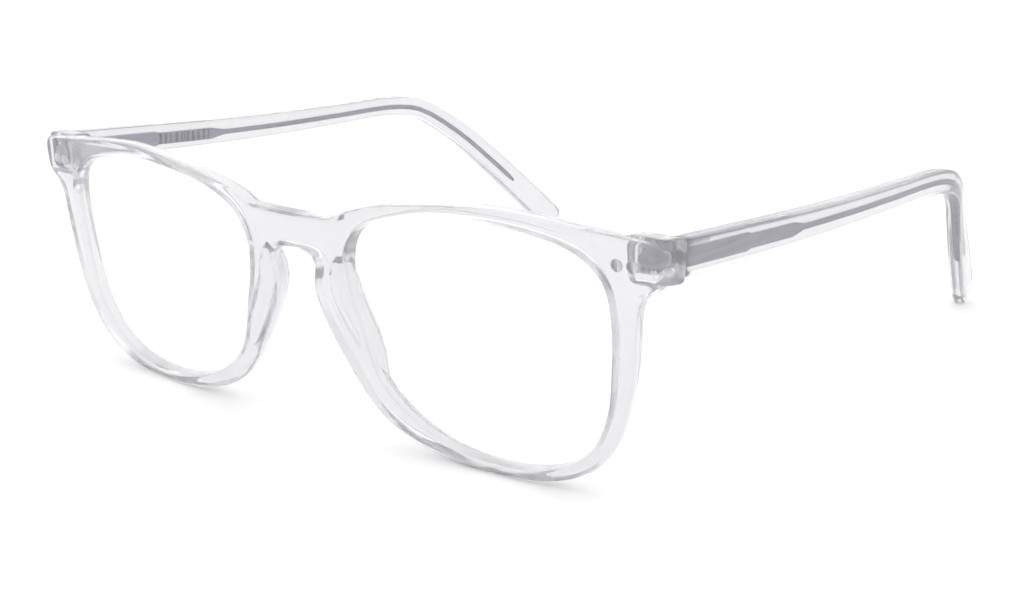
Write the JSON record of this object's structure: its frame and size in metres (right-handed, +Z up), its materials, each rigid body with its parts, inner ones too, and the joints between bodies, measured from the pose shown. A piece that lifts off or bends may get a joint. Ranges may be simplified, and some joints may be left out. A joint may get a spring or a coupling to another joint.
{
  "type": "eyeglasses",
  "caption": "Full-rim eyeglasses with clear lenses, a keyhole bridge, integral nose pads and two folding temples with embedded core wires on sunk hinges.",
  "frame": {"origin": "centre of the bounding box at the floor that the rims and temple tips stand on", "axes": "+X towards the wearer's left, +Y from the front back to the temple tips, +Z up"},
  "size_m": [0.1396, 0.1422, 0.0438],
  "materials": {
    "acetate": "polished crystal-clear cellulose acetate",
    "lens": "clear polished plastic lens, uncoated and without power",
    "core_metal": "satin nickel-silver core wire",
    "hinge_metal": "satin nickel-silver hinge and face pins",
    "screw_metal": "polished small steel screw"
  },
  "bodies": {
    "front": {"front_frame": "acetate", "lens_left": "lens", "lens_right": "lens", "front_hinge_leaf_left": "hinge_metal", "front_hinge_leaf_right": "hinge_metal", "hinge_screw_left": "screw_metal", "hinge_screw_right": "screw_metal", "front_pin_inner_left": "hinge_metal", "front_pin_inner_right": "hinge_metal", "front_pin_outer_left": "hinge_metal", "front_pin_outer_right": "hinge_metal"},
    "temple_left": {"temple_left": "acetate", "core_wire_left": "core_metal", "temple_hinge_leaf_left": "hinge_metal"},
    "temple_right": {"temple_right": "acetate", "core_wire_right": "core_metal", "temple_hinge_leaf_right": "hinge_metal"}
  },
  "joints": [
    {"name": "temple_hinge_left", "type": "hinge", "parent": "front", "child": "temple_left", "pos_m": [0.0645, -0.06016, 0.03868], "axis": [0, 0.0807, 0.9967], "range_deg": [0, 84]},
    {"name": "temple_hinge_right", "type": "hinge", "parent": "front", "child": "temple_right", "pos_m": [-0.0645, -0.06016, 0.03868], "axis": [0, -0.0807, -0.9967], "range_deg": [0, 69]}
  ]
}
